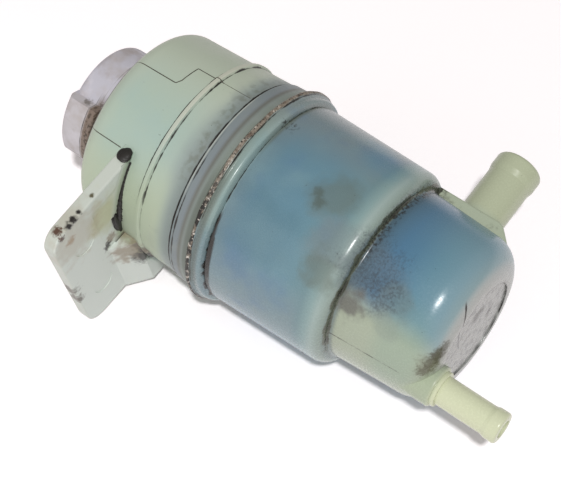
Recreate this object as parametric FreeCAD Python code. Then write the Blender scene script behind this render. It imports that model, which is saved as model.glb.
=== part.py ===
import FreeCAD, Part
import math
import os

# Power steering fluid reservoir: two moulded shells welded at a flange, a
# screw cap with two grip lobes, and a strainer and filter inside.
# Millimetres. +Z is up along the bottle, towards the cap, and +X is the
# direction of the suction nozzle. The origin is the middle of the bracket's
# lower face, between its two round marks.
# Every "depth" is measured down the bottle from the shoulder.

V = FreeCAD.Vector
UP = V(0, 0, 1)
OUT = V(1, 0, 0)

# Walls and fits
wall = 2.6
weld_lip = 1.6
inner_fit = 0.15
turning_gap = 0.35

# Weld flange, which sets how wide both shells and the sump are
weld_depth = 51.6
flange_radius = 39.1
flange_reach = 4.7
weld_proud = 0.9
weld_half = 0.8

# Upper shell, from the shoulder down
upper_inset = 1.1
upper_taper = 1.7
shoulder_round = 5.5
shoulder_rise = 1.0
rib_depth = 26.7
rib_width = 2.2
rib_height = 0.9
step_depth = 41.7
step_height = 0.5
groove_width = 0.8
groove_sink = 0.35

# Filler neck
neck_radius = 16.6
neck_height = 15.4
neck_bore_radius = 14.2
neck_seat_radius = 13.0
neck_seat_drop = 3.2
neck_collar_radius = 19.5
neck_collar_height = 1.6

# Lower shell
lower_inset = 2.0
lower_taper = 1.1
lower_end_depth = 102.4
lower_round = 4.4
crease_round = 1.2

# Sump
ledge_width = 4.8
sump_taper = 2.0
sump_end_depth = 138.1
sump_round = 10.5
bottom_recess_margin = 0.7
bottom_recess_sink = 0.5

# Suction nozzle, at right angles to the bottle
suction_depth = 116.9
suction_radius = 7.9
suction_bore_radius = 5.6
suction_length = 24.7
suction_bead_radius = 8.45
suction_bead_land = 3.8
suction_bead_lead = 2.2
suction_tip_round = 1.6
strip_height = 4.2
strip_half_width = 8.6
strip_end_depth = 126.0
strip_round = 2.0

# Return nozzle, along the bottle
return_inset = 6.8
return_radius = 5.05
return_bore_radius = 3.2
return_reach = 25.5
return_bead_radius = 5.5
return_bead_land = 3.0
return_bead_lead = 1.4
return_tip_round = 1.0
boss_radius = 7.2
boss_rise = 14.1
boss_reach = 1.7
collar_radius = 6.2
collar_height = 1.4

# Bracket plate, opposite the suction nozzle
bracket_reach = 63.7
bracket_half_width = 30.5
bracket_thickness = 5.0
bracket_depth = 20.0
bracket_corner = 7.0
mark_offset = 52.4
mark_spacing = 28.6
mark_radius = 4.5
mark_sink = 0.3
pocket_reach = 45.6
pocket_width = 26.0
pocket_sink = 0.5
relief_clearance = 1.5
gusset_start = 2.0
gusset_reach = 45.0
gusset_drop = 6.3

# Screw cap
cap_radius = 20.8
cap_top_rise = 19.4
cap_skirt_rise = 4.3
cap_top_wall = 2.4
cap_bore_radius = 18.5
cap_round = 2.4
lobe_radius = 24.2
lobe_half_width = 10.6
lobe_skirt_rise = 6.8
lobe_angle = 209.5
lobe_count = 2
lobe_round = 1.2
seal_inner_radius = 13.4

# Strainer in the neck
strainer_radius = 12.4
strainer_wall = 1.2
strainer_flange = 1.4
strainer_length = 34.0
strainer_windows = 6
strainer_rows = 2
window_height = 9.0
window_margin = 4.0
window_share = 0.62

# Filter and what guides the flow in the lower shell
baffle_thickness = 1.6
baffle_seat = 1.6
baffle_holes = 10
baffle_hole_radius = 2.4
baffle_hole_inset = 10.4
filter_share = 0.65
filter_ring_height = 3.0
filter_posts = 8
filter_post_width = 2.4
filter_post_depth = 1.8
filter_plate = 2.0
filter_top_gap = 6.0
mesh_wall = 0.5
pipe_wall = 1.2
pipe_rise = 5.0

# Worked out from the sizes above
bottle_x = mark_offset
shoulder_z = bracket_depth
weld_radius = flange_radius + weld_proud
upper_bottom_radius = flange_radius - upper_inset
shoulder_radius = upper_bottom_radius - upper_taper
flange_end_depth = weld_depth + flange_reach
lower_top_radius = flange_radius - lower_inset
lower_bottom_radius = lower_top_radius - lower_taper
sump_top_radius = lower_bottom_radius - ledge_width
sump_bottom_radius = sump_top_radius - sump_taper
bottom_recess_radius = sump_bottom_radius - sump_round - bottom_recess_margin
strip_reach = sump_bottom_radius + strip_height
suction_reach = strip_reach + suction_length
return_offset = sump_bottom_radius - return_inset
filter_radius = filter_share * return_offset
baffle_hole_circle = upper_bottom_radius - wall - baffle_hole_inset
upper_slope = (upper_bottom_radius - shoulder_radius) / weld_depth
lower_slope = (lower_bottom_radius - lower_top_radius) / (lower_end_depth - flange_end_depth)
ledge_depth = lower_end_depth - wall
cavity_floor_depth = sump_end_depth - wall
boss_start_depth = sump_end_depth - boss_rise
boss_end_depth = sump_end_depth + boss_reach
return_tip_depth = sump_end_depth + return_reach
pipe_radius = return_bore_radius + pipe_wall


def level(depth):
    return shoulder_z - depth


def upper_radius(depth):
    return shoulder_radius + upper_slope * depth


def lower_radius(depth):
    return lower_top_radius + lower_slope * (depth - flange_end_depth)


def rounded_wire(corners):
    """Closed outline in the XZ plane. Each corner is (x, z, radius), and a
    radius above nought puts an arc there that is tangent to both sides."""
    starts, ends, edges = [], [], []
    count = len(corners)
    points = [V(x, 0, z) for x, z, _ in corners]
    for i, (_, _, radius) in enumerate(corners):
        corner = points[i]
        if radius <= 0:
            starts.append(corner)
            ends.append(corner)
            edges.append(None)
            continue
        back = (points[i - 1] - corner).normalize()
        ahead = (points[(i + 1) % count] - corner).normalize()
        half = back.getAngle(ahead) / 2
        reach = radius / math.tan(half)
        start = corner + back * reach
        end = corner + ahead * reach
        inward = (back + ahead).normalize()
        middle = corner + inward * (radius / math.sin(half) - radius)
        starts.append(start)
        ends.append(end)
        edges.append(Part.Arc(start, middle, end).toShape())
    wire = []
    for i in range(count):
        if edges[i] is not None:
            wire.append(edges[i])
        following = starts[(i + 1) % count]
        if (following - ends[i]).Length > 1e-6:
            wire.append(Part.makeLine(ends[i], following))
    return Part.Wire(wire)


def turned(corners):
    """Solid of revolution about the bottle's axis."""
    return Part.Face(rounded_wire(corners)).revolve(V(0, 0, 0), UP, 360)


def turned_along(corners, place, direction):
    """Solid of revolution whose own axis starts at place."""
    solid = turned(corners)
    solid.Placement = FreeCAD.Placement(place, FreeCAD.Rotation(UP, direction))
    return solid


def rod(radius, length, place, direction):
    return Part.makeCylinder(radius, length, place, direction)


def ring_of(shape, count):
    """The shape repeated evenly round the bottle's axis."""
    copies = []
    for i in range(count):
        copy = shape.copy()
        copy.rotate(V(0, 0, 0), UP, 360 * i / count)
        copies.append(copy)
    return copies


def upper_body():
    """Shoulder, neck, ribs and the upper half of the weld flange."""
    top = level(-neck_height)
    shoulder = level(-shoulder_rise)
    rib_top, rib_end = rib_depth, rib_depth + rib_width
    step_end = step_depth + groove_width
    lip_top = weld_depth - weld_half
    skirt = rib_height * 0.5
    outside = [
        (neck_bore_radius, top, 0.4),
        (neck_radius, top, 0.6),
        (neck_radius, shoulder + neck_collar_height, 0.4),
        (neck_collar_radius, shoulder + neck_collar_height, 0.5),
        (neck_collar_radius, shoulder, 0.4),
        (upper_radius(0), shoulder, shoulder_round),
        (upper_radius(rib_top), level(rib_top), 0.2),
        (upper_radius(rib_top) + rib_height, level(rib_top + skirt), 0.3),
        (upper_radius(rib_end) + rib_height, level(rib_end - skirt), 0.3),
        (upper_radius(rib_end), level(rib_end), 0.2),
        (upper_radius(step_depth), level(step_depth), 0.2),
        (upper_radius(step_depth) - groove_sink, level(step_depth + groove_width / 2), 0),
        (upper_radius(step_end) + step_height, level(step_end), 0.3),
        (upper_radius(lip_top) + step_height, level(lip_top - weld_lip / 2), 0.3),
        (weld_radius, level(lip_top), 0.3),
        (weld_radius, level(weld_depth), 0),
    ]
    inside = [
        (upper_radius(weld_depth) - wall, level(weld_depth), 0),
        (upper_radius(0) - wall, shoulder - wall, max(shoulder_round - wall, 0.4)),
        (neck_seat_radius, shoulder - wall, 0.6),
        (neck_seat_radius, top - neck_seat_drop, 0),
        (neck_bore_radius, top - neck_seat_drop, 0),
    ]
    return turned(outside + inside)


def bracket():
    """Plate at right angles to the bottle, with a pocket and a wedge at its
    root. A shallow relief round the bottle keeps what the plate rests on
    clear of the mould ring and the weld flange."""
    lower = level(bracket_depth)
    plate = Part.makeBox(bracket_reach, 2 * bracket_half_width, bracket_thickness,
                         V(-bracket_reach, -bracket_half_width, lower))
    outer_edges = [e for e in plate.Edges
                   if abs(e.CenterOfMass.x + bracket_reach) < 1e-6
                   and abs(e.CenterOfMass.z - lower - bracket_thickness / 2) < 1e-6]
    plate = plate.makeFillet(bracket_corner, outer_edges)
    rims = [e for e in plate.Edges
            if e.BoundBox.ZLength < 1e-6 and e.CenterOfMass.x < -bracket_half_width / 2]
    plate = plate.makeFillet(0.7, rims)
    pocket = Part.makeBox(pocket_reach, pocket_width, pocket_sink,
                          V(-pocket_reach, gusset_start - pocket_width, lower))
    relief = rod(weld_radius + relief_clearance, pocket_sink, V(0, 0, lower), UP)
    plate = plate.cut([pocket, relief])
    for side in (-1, 1):
        mark = rod(mark_radius, mark_sink, V(-mark_offset, side * mark_spacing / 2, lower), UP)
        plate = plate.cut(mark)
    wedge_wire = Part.makePolygon([
        V(-gusset_reach, gusset_start, lower),
        V(0, gusset_start, lower),
        V(0, gusset_start, lower - gusset_drop),
        V(-upper_radius(bracket_depth), gusset_start, lower - gusset_drop),
        V(-gusset_reach, gusset_start, lower)])
    wedge = Part.Face(wedge_wire).extrude(V(0, bracket_half_width - gusset_start, 0))
    return plate.fuse(wedge)


def upper_cavity():
    """Room inside the upper shell, used to trim what is added outside."""
    return turned([
        (0, level(-shoulder_rise) - wall, 0),
        (upper_radius(0) - wall, level(-shoulder_rise) - wall, 0.4),
        (upper_radius(weld_depth) - wall, level(weld_depth), 0),
        (0, level(weld_depth), 0),
    ])


def upper_shell():
    return upper_body().fuse(bracket().cut(upper_cavity())).removeSplitter()


def lower_outside():
    """Outer form of the lower shell and sump, as one solid."""
    weld = level(weld_depth)
    lip = level(weld_depth + weld_half)
    return turned([
        (0, weld, 0),
        (weld_radius, weld, 0),
        (weld_radius, lip, 0.3),
        (flange_radius, lip - weld_lip / 2, 0.3),
        (flange_radius, level(flange_end_depth) + groove_width, 1.2),
        (lower_top_radius - groove_sink, level(flange_end_depth), 0),
        (lower_top_radius, level(flange_end_depth + groove_width / 2), 0),
        (lower_radius(lower_end_depth), level(lower_end_depth), lower_round),
        (sump_top_radius, level(lower_end_depth), crease_round),
        (sump_bottom_radius, level(sump_end_depth), sump_round),
        (0, level(sump_end_depth), 0),
    ])


def lower_inside():
    """Room inside the lower shell and sump, with the baffle's rebate and a
    socket left standing for the return pipe."""
    weld = level(weld_depth)
    rim = upper_radius(weld_depth) - wall
    room = turned([
        (0, weld, 0),
        (rim + baffle_seat, weld, 0),
        (rim + baffle_seat, weld - baffle_thickness, 0),
        (lower_top_radius - wall, weld - baffle_thickness, 0),
        (lower_radius(ledge_depth) - wall, level(ledge_depth), lower_round - wall),
        (sump_top_radius - wall, level(ledge_depth), 0.5),
        (sump_bottom_radius - wall, level(cavity_floor_depth), sump_round - wall),
        (0, level(cavity_floor_depth), 0),
    ])
    socket_height = cavity_floor_depth - boss_start_depth
    return room.cut(rod(boss_radius, socket_height, V(-return_offset, 0, level(boss_start_depth)), -UP))


def suction_strip():
    """Flat raised strip down the sump that carries the suction nozzle."""
    high = level(lower_end_depth - lower_round)
    low = level(strip_end_depth)
    run_out = strip_reach - sump_bottom_radius + strip_round
    outline = rounded_wire([
        (sump_bottom_radius / 2, high, 0),
        (strip_reach, high, 0),
        (strip_reach, low, strip_round * 2),
        (sump_bottom_radius - strip_round, low - run_out, 0),
        (sump_bottom_radius / 2, low - run_out, 0),
    ])
    strip = Part.Face(outline).extrude(V(0, 2 * strip_half_width, 0))
    strip.translate(V(0, -strip_half_width, 0))
    long_edges = [e for e in strip.Edges
                  if abs(e.CenterOfMass.x - strip_reach) < 1e-6 and e.BoundBox.YLength < 1e-6]
    return strip.makeFillet(strip_round / 2, long_edges)


def nozzle(outer, length, bead, land, lead, tip_round):
    """Hose nozzle along its own +Z: plain tube, lead, bead and rounded tip."""
    return [
        (0, 0, 0),
        (outer, 0, 0),
        (outer, length - land - lead - tip_round, 0.4),
        (bead, length - land - tip_round, 0.4),
        (bead, length, tip_round),
        (0, length, 0),
    ]


def return_boss():
    """Boss at the sump's lower corner, with the collar the nozzle leaves."""
    boss = turned([
        (0, 0, 0),
        (boss_radius, 0, 0),
        (boss_radius, boss_end_depth - boss_start_depth, 0.8),
        (collar_radius, boss_end_depth - boss_start_depth, 0),
        (collar_radius, boss_end_depth - boss_start_depth + collar_height, 0.4),
        (0, boss_end_depth - boss_start_depth + collar_height, 0),
    ])
    down = FreeCAD.Rotation(UP, -UP)
    boss.Placement = FreeCAD.Placement(V(-return_offset, 0, level(boss_start_depth)), down)
    return boss


def lower_shell():
    suction = turned_along(
        nozzle(suction_radius, suction_reach, suction_bead_radius, suction_bead_land,
               suction_bead_lead, suction_tip_round),
        V(0, 0, level(suction_depth)), OUT)
    return_length = return_tip_depth - boss_end_depth
    returning = turned_along(
        nozzle(return_radius, return_length, return_bead_radius, return_bead_land,
               return_bead_lead, return_tip_round),
        V(-return_offset, 0, level(boss_end_depth)), -UP)
    solid = lower_outside().fuse([suction_strip(), suction, return_boss(), returning])
    solid = solid.cut(lower_inside())
    inner_reach = sump_bottom_radius / 2
    solid = solid.cut(rod(suction_bore_radius, suction_reach, V(inner_reach, 0, level(suction_depth)), OUT))
    bore_top = level(boss_start_depth)
    bore_length = return_tip_depth - boss_start_depth + 1
    solid = solid.cut(rod(return_bore_radius, bore_length, V(-return_offset, 0, bore_top), -UP))
    recess = rod(bottom_recess_radius, bottom_recess_sink, V(0, 0, level(sump_end_depth)), UP)
    return solid.cut(recess).removeSplitter()


def cap():
    """Hollow screw cap with straight-sided grip lobes."""
    top = level(-cap_top_rise)
    skirt = level(-cap_skirt_rise)
    shell = turned([
        (0, top, 0),
        (cap_radius, top, cap_round),
        (cap_radius, skirt, 0.6),
        (cap_bore_radius, skirt, 0.4),
        (cap_bore_radius, top - cap_top_wall, 0.3),
        (0, top - cap_top_wall, 0),
    ])
    lobe_low = level(-lobe_skirt_rise)
    lobe_disc = turned([
        (cap_bore_radius + 1, lobe_low, 0),
        (lobe_radius, lobe_low, 0.8),
        (lobe_radius, top, cap_round),
        (cap_bore_radius + 1, top, 0),
    ])
    block = Part.makeBox(lobe_radius, 2 * lobe_half_width, top - lobe_low,
                         V(0, -lobe_half_width, lobe_low))
    block = block.makeFillet(lobe_round, [
        e for e in block.Edges if e.BoundBox.ZLength > 1 and e.CenterOfMass.x > lobe_radius / 2])
    lobe = lobe_disc.common(block)
    lobe.rotate(V(0, 0, 0), UP, lobe_angle)
    return shell.fuse(ring_of(lobe, lobe_count)).removeSplitter()


def cap_seal():
    """Flat ring between the neck's mouth and the inside of the cap."""
    low = level(-neck_height)
    high = level(-cap_top_rise) - cap_top_wall
    return turned([
        (seal_inner_radius, low, 0),
        (cap_bore_radius - turning_gap, low, 0.3),
        (cap_bore_radius - turning_gap, high, 0.3),
        (seal_inner_radius, high, 0),
    ])


def neck_strainer():
    """Cup that hangs by its flange on the seat in the neck."""
    seat = level(-neck_height) - neck_seat_drop
    floor = seat - strainer_length
    cup = turned([
        (0, floor, 0),
        (strainer_radius, floor, 1.5),
        (strainer_radius, seat, 0),
        (neck_bore_radius - inner_fit, seat, 0),
        (neck_bore_radius - inner_fit, seat + strainer_flange, 0.3),
        (strainer_radius - strainer_wall, seat + strainer_flange, 0.3),
        (strainer_radius - strainer_wall, floor + strainer_wall, 0.8),
        (0, floor + strainer_wall, 0),
    ])
    width = 2 * math.pi * strainer_radius / strainer_windows * window_share
    pitch = window_height + window_margin
    windows = []
    for row in range(strainer_rows):
        low = floor + window_margin + row * pitch
        window = Part.makeBox(strainer_radius + 1, width, window_height, V(0, -width / 2, low))
        windows += ring_of(window, strainer_windows)
    return cup.cut(windows)


def baffle_plate():
    """Perforated disc held in the rebate between the two shells."""
    radius = upper_radius(weld_depth) - wall + baffle_seat - inner_fit
    low = level(weld_depth) - baffle_thickness
    disc = rod(radius, baffle_thickness, V(0, 0, low), UP)
    hole = rod(baffle_hole_radius, baffle_thickness, V(baffle_hole_circle, 0, low), UP)
    return disc.cut(ring_of(hole, baffle_holes))


def filter_top():
    return level(weld_depth + baffle_thickness + filter_top_gap)


def filter_frame():
    """Base plate on the ledge over the sump, with a ring of posts."""
    base = level(ledge_depth)
    top = filter_top()
    inner_round = lower_round - wall
    plate_radius = lower_radius(ledge_depth) - wall - inner_round
    plate = rod(plate_radius, filter_plate, V(0, 0, base), UP)
    outlet = rod(filter_radius - filter_post_depth - mesh_wall - 1, filter_plate, V(0, 0, base), UP)
    pipe_hole = rod(pipe_radius + inner_fit, filter_plate, V(-return_offset, 0, base), UP)
    post = Part.makeBox(filter_post_depth, filter_post_width, top - base - filter_plate,
                        V(filter_radius - filter_post_depth, -filter_post_width / 2, base + filter_plate))
    ring = turned([
        (filter_radius - filter_post_depth, top - filter_ring_height, 0),
        (filter_radius, top - filter_ring_height, 0),
        (filter_radius, top, 0),
        (filter_radius - filter_post_depth, top, 0),
    ])
    return plate.cut([outlet, pipe_hole]).fuse(ring_of(post, filter_posts) + [ring]).removeSplitter()


def filter_mesh():
    """Fine screen cylinder inside the posts."""
    outer = filter_radius - filter_post_depth - inner_fit
    low = level(ledge_depth) + filter_plate
    high = filter_top()
    return turned([
        (outer - mesh_wall, low, 0),
        (outer, low, 0),
        (outer, high, 0),
        (outer - mesh_wall, high, 0),
    ])


def filter_cover():
    """Disc that closes the top of the filter."""
    high = filter_top()
    return turned([
        (0, high, 0),
        (filter_radius, high, 0),
        (filter_radius, high + filter_plate, 0.6),
        (0, high + filter_plate, 0),
    ])


def return_pipe():
    """Standpipe that takes the returning oil up past the filter."""
    high = filter_top() + pipe_rise - filter_plate
    low = level(boss_start_depth)
    length = high - low
    pipe = rod(pipe_radius, length, V(-return_offset, 0, low), UP)
    return pipe.cut(rod(return_bore_radius, length, V(-return_offset, 0, low), UP))


nodes = {
    "upper_shell": upper_shell(),
    "lower_shell": lower_shell(),
    "cap": cap(),
    "cap_seal": cap_seal(),
    "neck_strainer": neck_strainer(),
    "baffle_plate": baffle_plate(),
    "filter_frame": filter_frame(),
    "filter_mesh": filter_mesh(),
    "filter_cover": filter_cover(),
    "return_pipe": return_pipe(),
}

os.makedirs("parts", exist_ok=True)
for name, shape in nodes.items():
    shape.translate(V(bottle_x, 0, 0))
    shape.exportStep("parts/" + name + ".step")
    print(name, shape.isValid(), len(shape.Solids), round(shape.Volume / 1000, 2), "cm3")
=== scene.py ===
import math

import bpy
import numpy as np
from bpy.props import FloatProperty, FloatVectorProperty, IntProperty, PointerProperty
from mathutils import Matrix, Vector


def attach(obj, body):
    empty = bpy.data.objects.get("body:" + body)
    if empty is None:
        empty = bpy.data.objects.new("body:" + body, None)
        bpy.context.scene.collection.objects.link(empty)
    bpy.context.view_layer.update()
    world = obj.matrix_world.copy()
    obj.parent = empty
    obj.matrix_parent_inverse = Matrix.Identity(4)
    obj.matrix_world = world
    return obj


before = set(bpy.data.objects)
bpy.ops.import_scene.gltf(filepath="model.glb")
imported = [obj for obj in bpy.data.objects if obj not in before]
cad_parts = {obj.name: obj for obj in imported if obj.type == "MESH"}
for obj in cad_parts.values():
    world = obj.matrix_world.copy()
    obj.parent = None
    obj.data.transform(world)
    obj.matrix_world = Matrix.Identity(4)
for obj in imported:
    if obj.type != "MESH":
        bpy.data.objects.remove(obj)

bl_info = {
    "name": "Power steering reservoir",
    "version": (1, 0, 0),
    "blender": (4, 5, 0),
    "location": "View3D > Sidebar > Reservoir",
    "description": "Surfaces, finishes and studio for a power steering fluid reservoir",
    "category": "Object",
}

MM = 0.001

# Places in millimetres, repeated from the part's source.
# Every depth is measured down the bottle from the shoulder.
AXIS_X = 52.4
SHOULDER_Z = 20.0
SHOULDER_RADIUS = 36.3
SHOULDER_ROUND = 5.5
SHOULDER_RISE = 1.0
UPPER_SLOPE = 1.7 / 51.6
RIB_DEPTH = 26.7
RIB_WIDTH = 2.2
RIB_HEIGHT = 0.9
STEP_DEPTH = 41.7
STEP_HEIGHT = 0.5
WELD_DEPTH = 51.6
WELD_RADIUS = 40.0
FLANGE_END_DEPTH = 56.3
LEDGE_DEPTH = 102.4
SUMP_END_DEPTH = 138.1
SUMP_RADIUS = 30.0
DISC_RADIUS = 18.0
STRIP_HALF_WIDTH = 8.6
RETURN_OFFSET = 22.4
BRACKET_HALF_WIDTH = 30.5
NECK_RADIUS = 16.6
NECK_HEIGHT = 15.4
CAP_BORE_RADIUS = 18.5
CAP_TOP_RISE = 19.4
CAP_TOP_WALL = 2.4
BRACKET_DEPTH = 20.0

# Sizes that only the scene has, in millimetres. Each thread starts so far
# below the neck's mouth or the cap's inner face.
NECK_THREAD_START = 4.0
CAP_THREAD_START = 3.4
CAP_THREAD_SHARE = 0.9
THREAD_SINK = 0.2
ARC_LENGTH_PER_DEGREE = 0.64
DIRT_EDGE = 0.14
GRAIN_RELIEF = 0.2

POLYPROPYLENE_IOR = 1.49
NYLON_IOR = 1.53

# Camera and floor in the part's frame, solved from the photograph.
IMAGE_WIDTH = 561
FOCAL_PIXELS = 1500
SENSOR_WIDTH = 36.0
CAMERA_PLACE = (-106.26, -445.47, -220.99)
CAMERA_FORWARD = (0.29747, 0.88904, 0.34802)
CAMERA_UP = (0.73830, -0.44533, 0.50656)
FLOOR_NORMAL = (0.173, -0.985, 0.0)
FLOOR_DROP = 40.7
FLOOR_SIZE = 1.5
FLOOR_LIFT = 1.42

# Each lamp: name, direction from the object, distance, diameter and watts.
# The key stands just above the camera, as the narrow shadows show.
LAMPS = (
    ("key", (-0.216, -0.938, -0.292), 1.5, 0.08, 13.8),
    ("fill", (-0.75, -0.45, 0.45), 0.9, 0.8, 1.2),
)
LAMP_TARGET_Z = -60.0
WORLD_COLOUR = (1.0, 0.96, 0.92, 1.0)
WORLD_LEVEL = 0.31


def linear(text):
    """An sRGB hex colour as linear red, green, blue and alpha."""
    channels = [int(text[i:i + 2], 16) / 255 for i in (0, 2, 4)]
    return tuple(c / 12.92 if c <= 0.04045 else ((c + 0.055) / 1.055) ** 2.4 for c in channels) + (1.0,)


def colour_property(name, description, text):
    return FloatVectorProperty(name=name, description=description, subtype="COLOR", size=4,
                               min=0.0, max=1.0, default=linear(text))


class ReservoirSizes(bpy.types.PropertyGroup):
    seam_width: FloatProperty(
        name="Parting ridge width", description="Width of the ridge that a mould joint leaves",
        default=0.38 * MM, min=0.0, unit="LENGTH")
    seam_height: FloatProperty(
        name="Parting ridge height", description="Height of the ridge that a mould joint leaves",
        default=0.14 * MM, min=0.0, unit="LENGTH")
    flash_width: FloatProperty(
        name="Weld flash width", description="Width of the squeezed bead round the weld",
        default=1.5 * MM, min=0.0, unit="LENGTH")
    flash_height: FloatProperty(
        name="Weld flash height", description="How far the squeezed bead stands out",
        default=0.45 * MM, min=0.0, unit="LENGTH")
    thread_pitch: FloatProperty(
        name="Thread pitch", description="Rise of the cap's thread in one turn",
        default=4.0 * MM, min=0.0, unit="LENGTH")
    thread_turns: FloatProperty(
        name="Thread turns", description="Turns of the thread on the neck", default=2.1, min=0.5)
    ring_steps: IntProperty(
        name="Steps round", description="Points round the bottle in each new surface",
        default=360, min=24)


class ReservoirColours(bpy.types.PropertyGroup):
    shell: colour_property("Upper shell", "Aged natural polypropylene", "A8BDB3")
    bracket: colour_property("Bracket", "The same plastic, thick and clean inside", "C9CFC6")
    tank: colour_property("Lower shell", "Wall stained blue-grey by the fluid", "64899A")
    rim: colour_property("Lower rim", "Thick rim where less stain shows", "9BADA9")
    sump: colour_property("Sump", "Thin wall with dark fluid behind it", "4F7794")
    nozzle: colour_property("Nozzles", "Clean solid polypropylene", "B6BDA1")
    cap: colour_property("Cap", "Matt white moulding gone grey", "C3C1CC")
    # Also the colour of painted shade: the shadow line at the shoulder and the arc on the bottom.
    dirt: colour_property("Dirt", "Oily road dirt", "262320")
    dust: colour_property("Dust", "Dry brown dust", "85705A")
    floor: colour_property("Floor", "Pale studio floor", "F5F1F3")


def sizes():
    return bpy.context.scene.reservoir_sizes


def colours():
    return bpy.context.scene.reservoir_colours


def millimetres(length):
    return length / MM


def wobble(angle, seed, waves=9, first=3):
    """Smooth random line round a ring: a sum of sines whose whole-number
    waves have seeded phases and fall off in height, from -1 to 1."""
    source = np.random.default_rng(seed)
    total = np.zeros_like(angle)
    for wave in range(waves):
        count = first + 2 * wave + source.integers(0, 2)
        total += np.sin(count * angle + source.uniform(0, 2 * np.pi)) / (1 + 0.35 * wave)
    return total / np.abs(total).max()


def wall_radius(depth):
    """Outside radius of the upper shell: a cone, less the circle that rounds
    the shoulder, plus the mould ring's hump and the step above the weld."""
    into_round = np.clip(SHOULDER_ROUND - SHOULDER_RISE - depth, 0, SHOULDER_ROUND)
    drop = SHOULDER_ROUND - np.sqrt(SHOULDER_ROUND ** 2 - into_round ** 2)
    hump = np.clip((RIB_WIDTH / 2 + 0.3 - np.abs(depth - RIB_DEPTH - RIB_WIDTH / 2)) / 0.6, 0, 1)
    step = np.where(depth > STEP_DEPTH + 0.6, STEP_HEIGHT, 0.0)
    return SHOULDER_RADIUS + UPPER_SLOPE * depth - drop + RIB_HEIGHT * hump + step


def around(radius, angle, depth):
    """Point at a radius, an angle from +X in radians and a depth."""
    return np.stack([AXIS_X + radius * np.cos(angle), radius * np.sin(angle),
                     SHOULDER_Z - depth + 0 * angle], axis=-1)


def outward(angle):
    """Unit vector straight out from the axis at an angle."""
    return np.stack([np.cos(angle), np.sin(angle), 0 * angle], axis=-1)


def swept(centres, side, up, width, height, section_steps=12):
    """Ellipse carried along a path: each ring is its centre, plus a cosine
    of the section angle along side times half the width, plus a sine along
    up times the height."""
    section = np.linspace(0, 2 * np.pi, section_steps, endpoint=False)
    across = np.cos(section)[None, :, None] * side[:, None, :] * width[:, None, None] / 2
    above = np.sin(section)[None, :, None] * up[:, None, :] * height[:, None, None]
    return centres[:, None, :] + across + above


def lump_grid(centre, axes, radii, seed, steps=28):
    """Uneven ellipsoid: a sphere's latitude and longitude, stretched along
    three axes and pushed in and out by waves of both angles."""
    latitude = np.linspace(-0.5 * np.pi, 0.5 * np.pi, steps)[1:-1, None]
    longitude = np.linspace(0, 2 * np.pi, 2 * steps, endpoint=False)[None, :]
    push = 1 + 0.34 * wobble(longitude + 1.7 * latitude, seed, waves=6, first=2) * np.cos(latitude)
    unit = np.stack([np.cos(latitude) * np.cos(longitude) * push,
                     np.cos(latitude) * np.sin(longitude) * push,
                     np.sin(latitude) + 0 * longitude], axis=-1)
    return centre + (unit * radii) @ axes


def grid_piece(name, points, body, material, wrap_rows=False):
    """Mesh from a grid of points in millimetres, with a quad between each
    four neighbours. Columns wrap round into loops. Rows wrap too, or else
    each open end is closed by a fan round its middle. Faces are turned
    outwards by the sign of the volume that they enclose."""
    rows, columns = points.shape[:2]
    index = np.arange(rows * columns).reshape(rows, columns)
    if wrap_rows:
        index = np.concatenate([index, index[:1]])
    index = np.concatenate([index, index[:, :1]], axis=1)
    quads = np.stack([index[:-1, :-1], index[1:, :-1], index[1:, 1:], index[:-1, 1:]], axis=-1)
    faces = quads.reshape(-1, 4).tolist()
    vertices = points.reshape(-1, 3)
    if not wrap_rows:
        for row, flip in ((0, False), (rows - 1, True)):
            pole = len(vertices)
            vertices = np.concatenate([vertices, points[row].mean(axis=0)[None]])
            loop = index[row]
            pairs = zip(loop[1:], loop[:-1]) if flip else zip(loop[:-1], loop[1:])
            faces += [[pole, int(a), int(b)] for a, b in pairs]
    corners = [vertices[[face[i] for face in faces]] for i in (0, 1, 2, -1)]
    start = corners[0] - vertices.mean(axis=0)
    edges = [corner - corners[0] for corner in corners[1:]]
    volume = sum(np.einsum("ij,ij->", start, np.cross(edges[i], edges[i + 1])) for i in (0, 1))
    if volume < 0:
        faces = [face[::-1] for face in faces]
    mesh = bpy.data.meshes.new(name)
    mesh.from_pydata((vertices * MM).tolist(), [], faces)
    mesh.polygons.foreach_set("use_smooth", np.ones(len(faces), dtype=bool))
    mesh.update()
    piece = bpy.data.objects.new(name, mesh)
    bpy.context.scene.collection.objects.link(piece)
    mesh.materials.append(material)
    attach(piece, body)
    return piece


def add(tree, kind, inputs=None, **settings):
    """Add a node with its settings and links. An input is named by its socket's
    name or number, and is a value, an output or a node, whose first output in
    use it takes."""
    node = tree.nodes.new(kind)
    for name, value in settings.items():
        setattr(node, name, value)
    for key, value in (inputs or {}).items():
        if isinstance(value, bpy.types.Node):
            value = next(output for output in value.outputs if output.enabled)
        if isinstance(value, bpy.types.NodeSocket):
            tree.links.new(value, node.inputs[key])
        else:
            node.inputs[key].default_value = value
    return node


def new_material(name):
    """Empty material with a Principled shader joined to its output."""
    material = bpy.data.materials.new(name)
    material.use_nodes = True
    tree = material.node_tree
    tree.nodes.clear()
    shader = add(tree, "ShaderNodeBsdfPrincipled")
    add(tree, "ShaderNodeOutputMaterial", {"Surface": shader})
    return material, tree, shader


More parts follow.
